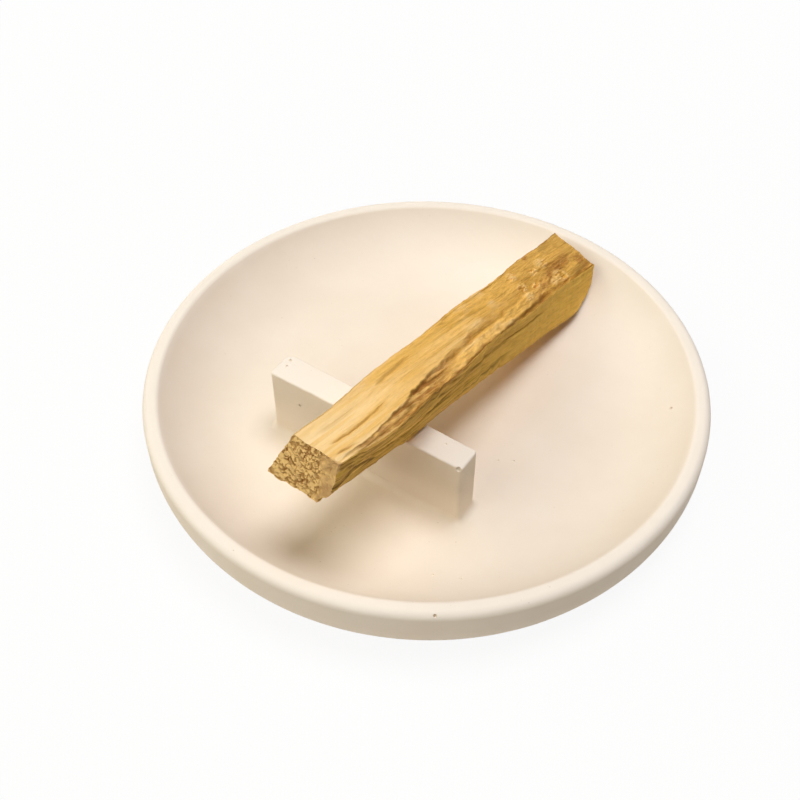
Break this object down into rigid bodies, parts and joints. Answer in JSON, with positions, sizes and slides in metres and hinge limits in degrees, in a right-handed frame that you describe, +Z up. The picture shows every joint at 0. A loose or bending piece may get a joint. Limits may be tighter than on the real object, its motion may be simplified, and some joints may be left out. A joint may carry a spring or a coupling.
{
  "type": "palo santo holder",
  "caption": "Shallow round cast dish with an upright slab rest bonded to its floor, carrying a loose riven stick of fragrant wood and catching its ash.",
  "frame": {"origin": "centre of the dish's flat base", "axes": "+Z up, +X along the upright rest, +Y from the rest towards the inner slope where the stick's foot lies"},
  "size_m": [0.1214, 0.1214, 0.0409],
  "materials": {
    "cast_body": "matt hand-cast cream, with fine pinholes",
    "riven_wood": "raw riven wood, sawn ends"
  },
  "bodies": {
    "holder": {"dish": "cast_body", "stick_rest": "cast_body", "foot_bead": "cast_body"},
    "stick": {"palo_santo_stick": "riven_wood"}
  },
  "joints": [
    {"name": "stick_lift", "type": "slide", "parent": "holder", "child": "stick", "axis": [0, 0, 1], "range_m": [0, 0.06]}
  ]
}
